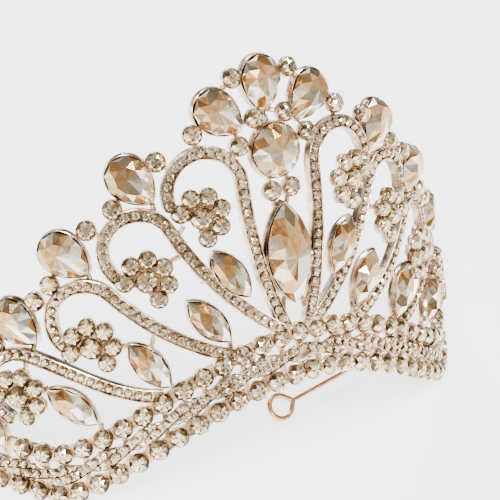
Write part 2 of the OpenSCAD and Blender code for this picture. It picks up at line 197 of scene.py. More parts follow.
# The middle of the band is a twist of short strands, cast on a spine between the two rows.
# Each strand is a channel with two raised rims that slants from row to row, and a wire crosses behind it.
def seat(u, v, out, spin=0.0):
    """Places on the wall: middle points, and the across, up and outward directions turned by spin."""
    u, v, out, spin = np.broadcast_arrays(np.atleast_1d(np.asarray(u, float)), v, out, spin)
    a = u / wall_radius
    zero = np.zeros_like(a)
    base = lean_back(zero, zero, zero)
    across = lean_back(np.cos(a), np.sin(a), zero) - base
    up = lean_back(zero, zero, zero + 1) - base
    c, s = np.cos(spin)[:, None], np.sin(spin)[:, None]
    outward = lean_back(np.sin(a), -np.cos(a), zero) - base
    return wrap(u, v, out), np.stack([c * across + s * up, c * up - s * across, outward], 1)


def set_on(shape, places, vary=0.0):
    """Copies a shape to every place and draws a change of up to vary for each facet's value."""
    points, faces, values = shape
    middles, axes = places
    n, m = len(points), len(middles)
    placed = (middles[:, None] + np.einsum("nk,mkj->mnj", points, axes)).reshape(-1, 3)
    copied = [(f[None] + n * np.arange(m)[:, None, None]).reshape(-1, f.shape[1]) for f in faces]
    shades = [(np.broadcast_to(v, len(f))[None] + vary * rng.uniform(-1, 1, (m, len(f)))).ravel()
              for f, v in zip(faces, values)]
    return placed, copied, shades


def ellipse(length, width, n):
    """Outline of an ellipse with its length upright, going round to the left."""
    t = 2 * np.pi * np.arange(n) / n
    return np.stack([width / 2 * np.cos(t), length / 2 * np.sin(t)], -1)


def setting(outline, section):
    """Closed cup: a section of (outwards, height) points carried round an outline, a back and a floor."""
    step = np.roll(outline, -1, 0) - np.roll(outline, 1, 0)
    away = np.stack([step[:, 1], -step[:, 0]], -1) / np.linalg.norm(step, axis=1)[:, None]
    rings = outline[None] + away[None] * section[:, None, :1]
    points = np.concatenate([rings, np.broadcast_to(section[:, None, 1:], (*rings.shape[:2], 1))], -1)
    n, m = len(outline), len(section)
    i, k = np.meshgrid(np.arange(m - 1), np.arange(n), indexing="ij")
    j = (k + 1) % n
    walls = np.stack([i * n + k, i * n + j, (i + 1) * n + j, (i + 1) * n + k], -1).reshape(-1, 4)
    flats = np.stack([np.arange(n)[::-1], (m - 1) * n + np.arange(n)])
    # Both flat faces are darkened as painted shade, and on a flower's web the front one shows dark in the
    # gaps.
    return points.reshape(-1, 3), [walls, flats], [0, painted_back_shade]


# A strand's length, its swing up and down, the crossing wire's swing as a share of that, and the points
strand_l, strand_swing, cross_swing, strand_steps = 12.4, 1.15, 1.5, 25
# The share of the half length at which a strand's ends start to round, over how much more and how far in
strand_end, strand_round, round_in = 0.86, 0.15, 0.95
strand_profile = even_profile([[1.05, 0.0], [1.25, 0.5], [1.22, 1.2], [1.1, 1.3], [0.98, 1.15],
                               [0.95, 0.75]])
cross_half_w, cross_half_t, cross_middle = 0.75, 0.35, 0.45
a = np.pi / 4 * np.arange(8)
cross_profile = np.stack([cross_half_w * np.cos(a), cross_middle + cross_half_t * np.sin(a)], -1)
# Five stones in each strand and two on the wire, with the share of the half length at which the two sit
small_d, small_step, cross_d, cross_spot = 2.2, 2.25, 1.75, 0.44
polished_metal = plated_metal("polished_rose_gold", srgb(248, 226, 200), srgb(148, 122, 96), 0.2, 0.25)
strand_blocks, small_u, small_v, cross_u, cross_v = [], [], [], [], []
for middle_u in np.arange(0.5, half_count / 2 - 0.5) * 2 * pitch:
    for sign in (1, -1):
        t = np.linspace(-1, 1, strand_steps)
        strand_u = sign * (middle_u + t * strand_l / 2)
        swing = -strand_swing * np.sin(t * np.pi / 2)
        line = np.stack([strand_u, row_v(strand_u) + row_gap / 2 + swing], -1)
        rounded = np.sqrt(1 - np.clip((np.abs(t) - strand_end) / strand_round, 0, round_in) ** 2)
        strand_blocks.append(strip(line, strand_profile, rounded))
        counter = np.stack([strand_u, row_v(strand_u) + row_gap / 2 - swing * cross_swing], -1)
        strand_blocks.append(strip(counter, cross_profile))
        spots = np.arange(-2, 3) * small_step / (strand_l / 2)
        small_u.append(np.interp(spots, t, line[:, 0]))
        small_v.append(np.interp(spots, t, line[:, 1]))
        cross_u.append(np.interp([-cross_spot, cross_spot], t, counter[:, 0]))
        cross_v.append(np.interp([-cross_spot, cross_spot], t, counter[:, 1]))
make_piece("ribbon_strands", strand_blocks, polished_metal, "crown_metal")


# The small stones are machine-cut glass rounds with foiled backs, glued into the strands.
# Light comes back from their pavilion facets, so each facet is painted with a reflection in its own tone of
# clear, champagne or grey.
def cut_stone(outline, height, middle, painted_light):
    """Stone cut on an outline of 2n points: back, girdle, lower, kite and star facets, and a table.

    Each ring of corners is a share of the outline, drawn in round the middle, at a share of the height.
    """
    n = len(outline) // 2
    middle = np.asarray(middle, float)
    corner, between = outline[::2] - middle, outline[1::2] - middle
    inner = (corner + np.roll(corner, -1, 0)) / 2
    back_share, girdle_height, kite_share, kite_height, table_share = 0.9, 0.25, 0.86, 0.66, 0.56
    rings = [(corner * back_share, 0), (corner, girdle_height), (between * kite_share, kite_height),
             (corner * table_share, 1), (inner * table_share, 1), (corner[:1] * 0, 1)]
    points = np.concatenate([np.column_stack([ring + middle, np.full(len(ring), height * z)])
                             for ring, z in rings])
    k = np.arange(n)
    j, h = (k + 1) % n, (k - 1) % n
    back, girdle, kite, table, half, tip = k, k + n, k + 2 * n, k + 3 * n, k + 4 * n, np.full(n, 5 * n)
    faces = [back[None, ::-1], np.stack([back, back[j], girdle[j], girdle], -1),
             np.stack([girdle, girdle[j], kite], -1), np.stack([girdle, kite, table, kite[h]], -1),
             np.stack([kite, table[j], half, table], -1), np.stack([table, half, tip], -1),
             np.stack([half, table[j], tip], -1)]
    reach = np.abs(outline).max()
    mids = [points[f].mean(1) / reach for f in faces]
    # Each facet's value is painted light: a painted reflection or a painted shade, by its kind and place.
    return points, faces, [painted_light(kind, mid[:, 0], mid[:, 1]) for kind, mid in enumerate(mids)]


def round_stone(d, points, height, painted_light):
    """A round stone, whose height is a share of its width."""
    return cut_stone(ellipse(d, d, points), height * d, [0, 0], painted_light)


# The kinds of facet are numbered: 0 back, 1 girdle, 2 lower, 3 kite, 4 star, 5 and 6 parts of the table
def clear_painted_reflections(kind, x, y):
    """Painted reflections on a clear stone's facets, light and dark by turns, with a dark girdle and back
    as painted shade, less a painted shadow crescent at the lower right.
    """
    turns = np.where(np.arange(len(x)) % 2 == 0, 1, -1)
    level = [0.1, 0.02, 0.52, 0.58, 0.8, 0.44, 0.8][kind]
    swing = [0, 0.02, 0.2, 0.16, 0.1, 0.2, 0.12][kind]
    # The crescent is a painted shadow that darkens each stone's lower right.
    shade_crescent = [0, 0, 0.75, 0.4, 0.12, 0.1, 0.1][kind] * np.clip((x - y - 0.1) / 1.1, 0, 1)
    return level + swing * turns - shade_crescent


def pale_painted_reflections(kind, x, y):
    """Painted reflection and shade tone of the stones of the scrolls and the flowers: a clear stone's,
    spread less and raised.
    """
    spread, lift = 0.72, 0.21
    return spread * clear_painted_reflections(kind, x, y) + lift


def foiled_glass(name, stops, cloudy):
    """Foil-backed glass: the facet's value of painted reflection and shade plus a little cloud, through a
    colour ramp, under a gloss.
    """
    finish = bpy.data.materials.new(name)
    finish.use_nodes = True
    nodes, links = finish.node_tree.nodes, finish.node_tree.links
    shader = nodes["Principled BSDF"]
    shader.inputs["Metallic"].default_value = 0.85
    shader.inputs["Roughness"].default_value = 0.14
    shader.inputs["Coat Weight"].default_value = 0.1
    shader.inputs["Coat Roughness"].default_value = 0.02
    facet = nodes.new("ShaderNodeAttribute")
    facet.attribute_name = "facet"
    where = nodes.new("ShaderNodeTexCoord")
    cloud = nodes.new("ShaderNodeTexNoise")
    cloud.inputs["Scale"].default_value = 700
    drift = nodes.new("ShaderNodeMath")
    drift.operation = "MULTIPLY_ADD"
    drift.inputs[1].default_value = cloudy
    tone = nodes.new("ShaderNodeMath")
    tone.operation = "SUBTRACT"
    tone.inputs[1].default_value = cloudy / 2
    ramp = nodes.new("ShaderNodeValToRGB")
    ramp.color_ramp.elements[0].position, ramp.color_ramp.elements[0].color = stops[0]
    ramp.color_ramp.elements[1].position, ramp.color_ramp.elements[1].color = stops[-1]
    for position, colour in stops[1:-1]:
        ramp.color_ramp.elements.new(position).color = colour
    links.new(where.outputs["Object"], cloud.inputs["Vector"])
    links.new(cloud.outputs["Fac"], drift.inputs[0])
    links.new(facet.outputs["Fac"], drift.inputs[2])
    links.new(drift.outputs["Value"], tone.inputs[0])
    links.new(tone.outputs["Value"], ramp.inputs["Fac"])
    links.new(ramp.outputs["Color"], shader.inputs["Base Color"])
    return finish


# The ramp turns the painted reflection and shade values into colours, from dark shade to a white highlight.
clear_glass = foiled_glass("foiled_clear_glass", [
    (0.0, srgb(18, 12, 7)), (0.2, srgb(62, 46, 28)), (0.4, srgb(126, 100, 64)),
    (0.6, srgb(180, 150, 106)), (0.8, srgb(230, 204, 162)), (1.0, srgb(255, 248, 232))], 0.5)
# Stones are set turned by up to a small angle, and each facet's tone differs a little from stone to stone
small_turn, row_turn, sparkle = 0.6, 0.7, 0.2
small_height, small_out, cross_out, small_points = 0.36, 0.7, 0.55, 12
small_stone = round_stone(small_d, small_points, small_height, clear_painted_reflections)
small_u, small_v = np.concatenate(small_u), np.concatenate(small_v)
small_places = seat(small_u, small_v, small_out, rng.uniform(-small_turn, small_turn, len(small_u)))
cross_stone = round_stone(cross_d, small_points, small_height, clear_painted_reflections)
cross_u, cross_v = np.concatenate(cross_u), np.concatenate(cross_v)
cross_places = seat(cross_u, cross_v, cross_out, rng.uniform(-small_turn, small_turn, len(cross_u)))
ribbon_stones = [set_on(small_stone, small_places, sparkle), set_on(cross_stone, cross_places, sparkle)]
make_piece("ribbon_stones", ribbon_stones, clear_glass, "clear_crystal")


# Each row of the band is a line of round cups with a stone in each.
# A cup is a turned ring on the strip, with a thin lip round the stone, which is glued in.
# Two upper stones are left out on each side for the tip of the last navette.
row_stone_d, row_play, round_height, round_points, row_cup_points = 4.62, 0.1, 0.34, 16, 20
skipped = [15, 16]
lower_i = np.arange(-half_count, half_count) + 0.5
upper_i = np.array([i for i in range(1 - half_count, half_count) if abs(i) not in skipped])
row_u = np.concatenate([lower_i, upper_i]) * pitch
row_rise = np.concatenate([np.zeros(len(lower_i)), np.full(len(upper_i), row_gap)])
row_slope = np.arctan2(row_v(row_u + 1) - row_v(row_u - 1), 2)
cup_section = np.array([[-0.35, 0.0], [0.0, 0.4], [0.08, 1.2], [0.1, 1.75], [0.04, 1.9], [-0.08, 1.85],
                        [-0.12, 1.4]])
cup_places = seat(row_u, row_v(row_u) + row_rise, band_out, row_slope)
row_cups = set_on(setting(ellipse(row_stone_d, row_stone_d, row_cup_points), cup_section), cup_places)
make_piece("row_cups", [row_cups], polished_metal, "crown_metal")

row_outline = ellipse(row_stone_d - row_play, row_stone_d - row_play, round_points)
row_stone = cut_stone(row_outline, round_height * row_stone_d, [0, 0], clear_painted_reflections)
stone_out = band_out + plate_t + seat_gap
lower_n, row_n = len(lower_i), len(row_u)
for name, first, last in (("band_bottom_stones", 0, lower_n), ("band_top_stones", lower_n, row_n)):
    places = seat(row_u[first:last], (row_v(row_u) + row_rise)[first:last], stone_out,
                  rng.uniform(-row_turn, row_turn, last - first))
    make_piece("cut_" + name, [set_on(row_stone, places, sparkle)], clear_glass, "clear_crystal", name)


# Eight scrolls rise from the band, each a shepherd's crook cast as a channel with two raised rims.
# Their feet are soldered to the band, and each crook curls round a flower.
# Columns: root u and v, way at the root, curl's centre u and v, its radius, its first and last angle.
scrolls = [(3.0, 12.5, 68, 18.0, 47.0, 8.6, 180, -21), (4.0, 11.8, 37, 34.3, 36.5, 7.9, 155, -60),
           (14.0, 8.0, 18, 48.1, 22.1, 8.0, 140, -50), (36.0, 3.0, 10, 65.8, 7.4, 8.1, 110, -70)]
channel = even_profile([[1.5, -1.2], [1.6, 0.3], [1.5, 0.85], [1.3, 0.95], [1.12, 0.8], [1.05, 0.4]])
# How far the foot runs under the band, how hard the stem's ends pull as a share of its span, and the step
foot_l, pull, scroll_step = 2.4, 0.34, 0.6
stem_points, curl_points = 40, 60


def scroll_line(root_u, root_v, leave, curl_u, curl_v, curl_r, start, stop):
    """Middle line of a scroll, and its length: a foot, a cubic stem and an arc, taken in even steps."""
    leave, start, stop = np.radians([leave, start, stop])
    centre = np.array([curl_u, curl_v])
    p0, p3 = np.array([root_u, root_v]), centre + curl_r * np.array([np.cos(start), np.sin(start)])
    reach = np.linalg.norm(p3 - p0) * pull
    p1 = p0 + reach * np.array([np.cos(leave), np.sin(leave)])
    p2 = p3 - reach * np.array([np.sin(start), -np.cos(start)])
    t = np.linspace(0, 1, stem_points)[:, None]
    stem = (1 - t) ** 3 * p0 + 3 * t * (1 - t) ** 2 * p1 + 3 * t * t * (1 - t) * p2 + t ** 3 * p3
    a = np.linspace(start, stop, curl_points)[1:, None]
    foot = p0 - [foot_l * np.cos(leave), foot_l * np.sin(leave)]
    line = np.concatenate([foot[None], stem, centre + curl_r * np.concatenate([np.cos(a), np.sin(a)], 1)])
    gone = np.concatenate([[0], np.cumsum(np.linalg.norm(np.diff(line, axis=0), axis=1))])
    even = np.linspace(0, gone[-1], int(gone[-1] / scroll_step))
    return np.stack([np.interp(even, gone, line[:, 0]), np.interp(even, gone, line[:, 1])], -1), gone[-1]


# The stones in a scroll, the bare lengths at its tip and foot, and how the tip is rounded
pave_d, pave_step, pave_height, pave_out = 2.15, 2.2, 0.42, 0.42
bare_tip, bare_foot = 1.3, 0.3
round_tip, round_r, tip_share = 1.5, 1.6, 0.97
scroll_blocks, pave_u, pave_v = [], [], []
for scroll in scrolls:
    line, length = scroll_line(*scroll)
    along = np.linspace(0, length, len(line))
    taper = np.sqrt(1 - np.clip((along - (length - round_tip)) / round_r, 0, tip_share) ** 2)
    count = int((length - bare_tip - bare_foot) / pave_step)
    spots = length - bare_tip - np.arange(count) * pave_step
    for sign in (1, -1):
        mirrored = line * [sign, 1]
        scroll_blocks.append(strip(mirrored, channel, taper))
        pave_u.append(np.interp(spots, along, mirrored[:, 0]))
        pave_v.append(np.interp(spots, along, mirrored[:, 1]))
make_piece("scroll_channels", scroll_blocks, polished_metal, "crown_metal")

pave_u, pave_v = np.concatenate(pave_u), np.concatenate(pave_v)
pave_stone = round_stone(pave_d, small_points, pave_height, pale_painted_reflections)
pave_places = seat(pave_u, pave_v, pave_out, rng.uniform(-small_turn, small_turn, len(pave_u)))
make_piece("scroll_stones", [set_on(pave_stone, pave_places, sparkle)], clear_glass, "clear_crystal")


# The large stones stand along the top edge and between the scrolls: nine pears, ten navettes,
# a round and a large navette in the middle. Each is foil-backed champagne glass in a plain cast cup,
# whose thin lip follows the stone's edge.
def pear(length, width, n):
    """Outline of a pear with its tip down: sin t times the root of sin t/2, over its widest, by cos t."""
    t = 2 * np.pi * np.arange(n) / n
    widest = 0.862
    return np.stack([width / 2 * np.sin(t) * np.sqrt(np.sin(t / 2)) / widest, -length / 2 * np.cos(t)], -1)


def navette(length, width, n):
    """Outline of a navette: two arcs that meet in a point at each end, going round to the left."""
    r = (length ** 2 + width ** 2) / (4 * width)
    a = np.arcsin(length / 2 / r)
    half = n // 2
    t = -a + 2 * a * np.arange(half) / half
    side = np.stack([r * np.cos(t) - r + width / 2, r * np.sin(t)], -1)
    return np.concatenate([side, -side])


def champagne_painted_reflections(kind, x, y):
    """Champagne colour with painted reflections on the facets: tan above, grey at the left, a painted white
    highlight below on the right.

    By the angle round the stone, the rim's tone gives way to the patch's towards the table, with a swing,
    and the back and girdle are dark as painted shade.
    """
    turns = np.where(np.arange(len(x)) % 2 == 0, 1, -1)
    way = np.degrees(np.arctan2(y, x)) % 360
    patch = np.interp(way, [0, 35, 50, 140, 160, 200, 242, 250, 258, 266, 316, 335, 360],
                      [0.84, 0.6, 0.44, 0.42, 0.64, 0.7, 0.76, 0.2, 0.2, 1.05, 1.1, 0.84, 0.84])
    rim = np.interp(way, [0, 60, 120, 180, 230, 280, 330, 360],
                    [0.82, 0.7, 0.64, 0.72, 0.74, 0.88, 0.84, 0.82])
    # The dark back and girdle are painted shade under the cup's lip.
    behind = [0.12, 0.03, 0, 0, 0, 0, 0][kind]
    share = [0, 0, 0, 0.45, 0.8, 1, 1][kind]
    swing = [0, 0.02, 0.3, 0.14, 0.08, 0.03, 0.03][kind]
    return (rim + (patch - rim) * share) * (kind > 1) + behind + swing * turns


# The ramp turns the painted reflection and shade values into colours, from dark brown shade through tan and
# grey to a white highlight.
champagne_ramp = [(0.0, srgb(28, 20, 12)), (0.2, srgb(96, 66, 36)), (0.4, srgb(190, 138, 80)),
                  (0.54, srgb(208, 166, 116)), (0.68, srgb(152, 136, 108)), (0.84, srgb(222, 202, 166)),
                  (1.0, srgb(255, 248, 234))]
champagne_glass = foiled_glass("foiled_champagne_glass", champagne_ramp, 0.3)
# Columns of the pears: u, v and tilt. Columns of the navettes: u and v of the upper and the lower tip.
pears = np.array([[11.9, 62.9, 47], [33.7, 51.6, 37], [50.8, 36.9, 47], [64.9, 22.4, 44]])
navettes = np.array([[18.6, 33.7, 11.1, 21.6], [25.5, 23.4, 17.1, 12.7], [39.5, 15.7, 31.7, 4.8],
                     [59.4, 7.2, 48.6, -1.7], [79.4, 5.0, 71.6, -6.4]])
pear_out, centre_out = -2.5, -1.7
centre_pear_v, centre_navette_v, centre_round_v = 67.7, 29.3, 52.9
# Each cut is an outline, its length, width and points, the stone's height and the middle of its table
pear_cut = (pear, 12.8, 9.8, 20, 3.8, [0, 1.54])
navette_cut = (navette, 13.8, 6.6, 16, 2.8, [0, 0])
large_navette_cut = (navette, 23.6, 11.6, 24, 4.2, [0, -1])
large_round_cut = (ellipse, 12.4, 12.4, 24, 3.6, [0, 0])
large_section = np.array([[0.1, 0], [0.4, 0.5], [0.38, 1.4], [0.17, 2.15], [0.06, 2.2], [0.0, 2.0],
                          [-0.1, plate_t]])
large_sparkle = 0.08
large_cups = []


def large_stone(name, places, cut, slot_name="champagne_crystal"):
    """A large stone in its cup, whose outline has twice the stone's points."""
    shape, length, width, points, height, middle = cut
    large_cups.append(set_on(setting(shape(length, width, 2 * points), large_section), places))
    floor = (places[0] + places[1][:, 2] * (plate_t + seat_gap), places[1])
    stone = cut_stone(shape(length, width, points), height, middle, champagne_painted_reflections)
    facets = [set_on(stone, floor, large_sparkle)]
    make_piece(name, facets, champagne_glass, slot_name, name.replace("cut_", ""))


large_stone("cut_pear_centre", seat(0, centre_pear_v, pear_out), pear_cut)
for number, (u, v, tilt) in enumerate(pears, 1):
    for side, sign in (("right", 1), ("left", -1)):
        place = seat(sign * u, v, pear_out, -sign * np.radians(tilt))
        large_stone(f"cut_pear_{side}_{number}", place, pear_cut)
for number, (top_u, top_v, low_u, low_v) in enumerate(navettes, 1):
    for side, sign in (("right", 1), ("left", -1)):
        spin = np.arctan2(top_v - low_v, sign * (top_u - low_u)) - np.pi / 2
        place = seat(sign * (top_u + low_u) / 2, (top_v + low_v) / 2, band_out, spin)
        large_stone(f"cut_navette_{side}_{number}", place, navette_cut)
large_stone("cut_centre_navette", seat(0, centre_navette_v, centre_out), large_navette_cut)
large_stone("cut_centre_round", seat(0, centre_round_v, centre_out), large_round_cut, "clear_crystal")
make_piece("large_cups", large_cups, polished_metal, "crown_metal")


# The eight flowers have a round stone in the middle and six petals, with a gap where the scroll ends.
# Single rounds a little larger than the petals fill the places beside the pears and the large round.
# Columns of the flowers: u, v and the way the petals face. Columns of the single rounds: u and v.
flower_out, accent_out, petals_each = 0.2, -0.8, 6
flower_d, petal_d, petal_ring, petal_turn, petal_cup_points = 5.05, 4.1, 4.85, 48, 14
flowers = np.array([[20.0, 41.7, 140], [33.6, 29.7, 124], [47.6, 16.2, 111], [66.1, 5.7, 132]])
accents = np.array([[7.6, 70.1], [4.0, 60.7], [8.9, 55.4], [19.1, 59.7], [28.0, 55.3], [38.7, 46.4],
                    [45.0, 42.5], [55.0, 31.0], [59.0, 27.6], [70.5, 17.8], [2.5, 44.1]])
accent_d = 4.4
petal_section = np.array([[-0.1, 0], [0.1, 0.3], [0.13, 1.3], [0.09, 1.75], [0.02, 1.82], [-0.08, 1.4]])
petal_stone = round_stone(petal_d, round_points, round_height, pale_painted_reflections)
flower_stone = round_stone(flower_d, round_points, round_height, pale_painted_reflections)
accent_stone = round_stone(accent_d, round_points, round_height, pale_painted_reflections)
petal_cup = setting(ellipse(petal_d, petal_d, petal_cup_points), petal_section)
flower_cup = setting(ellipse(flower_d, flower_d, round_points), petal_section)
accent_cup = setting(ellipse(accent_d, accent_d, round_points), petal_section)
flower_blocks = []
turns = np.radians(petal_turn) * (np.arange(petals_each) - (petals_each - 1) / 2)
for side, sign in (("right", 1), ("left", -1)):
    middles = seat(sign * flowers[:, 0], flowers[:, 1], flower_out)
    stones = []
    way = np.radians(flowers[:, 2] if sign == 1 else 180 - flowers[:, 2])[:, None] + turns
    offset = np.stack([np.cos(way), np.sin(way)], -1) * petal_ring
    spots = (middles[0][:, None] + np.einsum("fpk,fkj->fpj", offset, middles[1][:, :2])).reshape(-1, 3)
    petals = (spots, np.repeat(middles[1], petals_each, 0))
    for cup, stone, places in ((flower_cup, flower_stone, middles), (petal_cup, petal_stone, petals)):
        flower_blocks.append(set_on(cup, places))
        seated = (places[0] + places[1][:, 2] * (plate_t + seat_gap), places[1])
        stones.append(set_on(stone, seated, sparkle))
    make_piece("cut_flower_stones_" + side, stones, clear_glass, "clear_crystal", "flower_stones_" + side)
single = seat(np.concatenate([accents[:, 0], -accents[:, 0]]), np.tile(accents[:, 1], 2), accent_out)
flower_blocks.append(set_on(accent_cup, single))
make_piece("flower_cups", flower_blocks, polished_metal, "crown_metal")
seated = (single[0] + single[1][:, 2] * (plate_t + seat_gap), single[1])
accent_facets = [set_on(accent_stone, seated, sparkle)]
make_piece("cut_accent_stones", accent_facets, clear_glass, "clear_crystal", "accent_stones")


# Short bars behind the stones join the pieces that don't touch, and a flat web backs each flower.
# They are part of the casting and show in the gaps and from behind.
# Depths at which a bar runs into the band's level, a pear, a pear's tip, a middle stone and a flower.
in_band = band_out + 0.2
in_pear = pear_out + 0.25
in_tip = pear_out - 0.7
in_centre = centre_out + 0.25
in_flower = flower_out + 0.2
bar_w, bar_depth = 1.1, 0.9
# Columns: u, v and depth of one end, then of the other
ties = [
    (0.3, 61.9, in_tip, 4.0, 60.7, in_band), (4.0, 60.7, in_band, 8.0, 59.4, in_tip),
    (4.5, 70.0, in_pear, 7.6, 70.1, in_band), (7.6, 70.1, in_band, 9.9, 67.6, in_pear),
    (0, 61.6, in_tip, 0, 58.4, in_centre), (8.0, 59.2, in_tip, 8.9, 55.4, in_band),
    (8.9, 55.4, in_band, 5.4, 54.2, in_centre), (8.9, 55.4, in_band, 11, 52.5, in_band),
    (15.5, 61.5, in_tip, 19.1, 59.7, in_band), (19.1, 59.7, in_band, 18.3, 55.2, in_band),
    (28.0, 55.3, in_band, 30.3, 54.2, in_pear), (28.0, 55.3, in_band, 25, 52.9, in_band),
    (29.9, 47.2, in_tip, 29.7, 43.2, in_band), (36.2, 49.0, in_pear, 38.7, 46.4, in_band),
    (45.0, 42.5, in_band, 48.3, 40.4, in_pear), (45.0, 42.5, in_band, 42.2, 40.6, in_band),
    (46.6, 33.4, in_pear, 45.6, 29.4, in_band), (53.4, 33.9, in_pear, 55.0, 31.0, in_band),
    (59.0, 27.6, in_band, 62.2, 25.0, in_pear), (59.0, 27.6, in_band, 56.2, 25.8, in_band),
    (61.2, 18.4, in_pear, 62, 14.8, in_band), (67.6, 20.4, in_pear, 70.5, 17.8, in_band),
    (2.5, 44.1, in_band, 2.1, 47.6, in_centre), (2.5, 44.1, in_band, 1.3, 39.4, in_centre),
    (2, 20, in_centre, 3.5, 13, in_band), (21.2, 26.5, in_band, 21, 29, in_band),
    (25.5, 38, in_band, 24, 40.5, in_flower), (35.4, 11.4, in_band, 33.6, 17.4, in_band),
    (28.6, 32.9, in_flower, 25.4, 33.8, in_band), (42.6, 15.9, in_flower, 39.9, 15.2, in_band),
    (63.7, 11, in_flower, 63.7, 14.6, in_band), (17, 13, in_band, 17, 8.5, in_band),
    (74, 4, in_band, 76.5, 1.5, in_band), (31.7, 4.8, in_band, 29, 3, in_band),
    (48.5, -2.1, in_band, 48.4, -4, in_band), (59.4, 7.2, in_band, 60.5, 6.5, in_flower)]


def bar(u0, v0, out0, u1, v1, out1):
    """Bar with eight sides between two points of the wall, flat in front and behind."""
    section = np.array([[-0.5, 0.25], [-0.25, 0], [0.25, 0], [0.5, 0.25],
                        [0.5, 0.75], [0.25, 1], [-0.25, 1], [-0.5, 0.75]])
    n, m = 3, len(section)
    t = np.linspace(0, 1, n)[:, None]
    u, v, out = u0 + (u1 - u0) * t, v0 + (v1 - v0) * t, out0 + (out1 - out0) * t
    side = np.array([v0 - v1, u1 - u0]) / np.hypot(u1 - u0, v1 - v0) * bar_w
    points = wrap(u + side[0] * section[:, 0], v + side[1] * section[:, 0], out + bar_depth * section[:, 1])
    i, k = np.meshgrid(np.arange(n - 1), np.arange(m), indexing="ij")
    j = (k + 1) % m
    sides = np.stack([i * m + k, i * m + j, (i + 1) * m + j, (i + 1) * m + k], -1).reshape(-1, 4)
    ends = np.stack([np.arange(m)[::-1], (n - 1) * m + np.arange(m)])
    return points.reshape(-1, 3), [sides, ends], [0, 0]


# The web bulges past the petals' ring by a cosine for each petal, in four points, and is round in the gap
web_bulge, web_steps, gap_r, gap_turns = 1.3, 4, 2.6, np.array([150, 180, 210])
web_section = np.array([[-0.2, 0], [0, 0.2], [0, 0.9], [-0.2, 1.1]])


def web(u, v, toward, sign):
    """Flat plate behind a flower: a fan that follows its petals, closed round its middle in the gap."""
    point = np.arange(petals_each * web_steps)
    a = np.radians(toward + petal_turn * (point / web_steps - (petals_each - 1 / web_steps) / 2))
    r = petal_ring + web_bulge * np.cos((point % web_steps - 1.5) / web_steps * np.pi)
    gap = np.radians(toward + gap_turns)
    outline = np.concatenate([np.stack([r * np.cos(a), r * np.sin(a)], -1),
                              gap_r * np.stack([np.cos(gap), np.sin(gap)], -1)])
    outline = outline if sign == 1 else (outline * [-1, 1])[::-1]
    return set_on(setting(outline, web_section), seat(sign * u, v, flower_out))


bars = [bar(sign * t[0], *t[1:3], sign * t[3], *t[4:]) for t in ties for sign in (1, -1)]
# The webs' flat faces carry the painted back shade, so the gaps between the petals show dark as painted
# shade.
webs = [web(*flower, sign) for flower in flowers for sign in (1, -1)]
make_piece("tie_bars", bars, cast_metal, "crown_metal")
make_piece("flower_backs", webs, polished_metal, "crown_metal")


# A bored post at each end of the band holds a drawn wire that ends in a leaning loop for a hair pin.
# The right wire is folded in under the front and the left one follows the head.
post_x, post_y, post_turn = 71.2, -21.6 + centre_shift, np.radians(15)
post_l, post_d, post_bore, post_bevel, post_sides = 5.0, 2.9, 1.4, 0.3, 24
wire_d, loop_d, loop_wire_d, loop_lean = 1.1, 7.4, 1.35, np.radians(51)
# How far the wire starts inside the post, runs on straight past it and ends short of the loop's round
wire_inset, wire_lead, loop_short = 0.2, 2, 0.8
loop_r = (loop_d - loop_wire_d) / 2
wire_z = loop_r * np.cos(loop_lean) + loop_wire_d / 2


def post(sign):
    """Bored post: a ring section carried along the wire's axis, closed by its two end rings."""
    a = 2 * np.pi * np.arange(post_sides) / post_sides
    ring = np.stack([np.cos(a), np.sin(a)], -1)
    end, rim, bore = post_l / 2, post_d / 2, post_bore / 2
    stations = [(end - post_bevel, rim), (end, rim - post_bevel), (end, bore),
                (-end, bore), (-end, rim - post_bevel), (post_bevel - end, rim)]
    way = np.array([sign * np.sin(post_turn), np.cos(post_turn), 0])
    across = np.array([way[1], -way[0], 0])
    middle = np.array([sign * post_x, post_y, wire_z])
    points = np.concatenate([middle + way * y + r * (ring[:, :1] * across + ring[:, 1:] * [0, 0, 1])
                             for y, r in stations])
    n, count = post_sides, len(stations)
    i, k = np.meshgrid(np.arange(count), np.arange(n), indexing="ij")
    m, j = (i + 1) % count, (k + 1) % n
    walls = np.stack([i * n + k, i * n + j, m * n + j, m * n + k], -1).reshape(-1, 4)
    return points, [walls], [0]


make_piece("end_posts", [post(1), post(-1)], polished_metal, "crown_metal")
wire_metal = plated_metal("drawn_wire", srgb(240, 194, 150), srgb(190, 142, 100), 0.24, 0.15)
# The loop is a little longer than it is wide, and drawn to a point where it closes on the wire
loop_length, pinch_depth, pinch_turn = 1.08, 0.9, 0.36
tube_sides, tip_rings, tip_start, bend_points, loop_points = 16, 5, 0.15, 40, 64


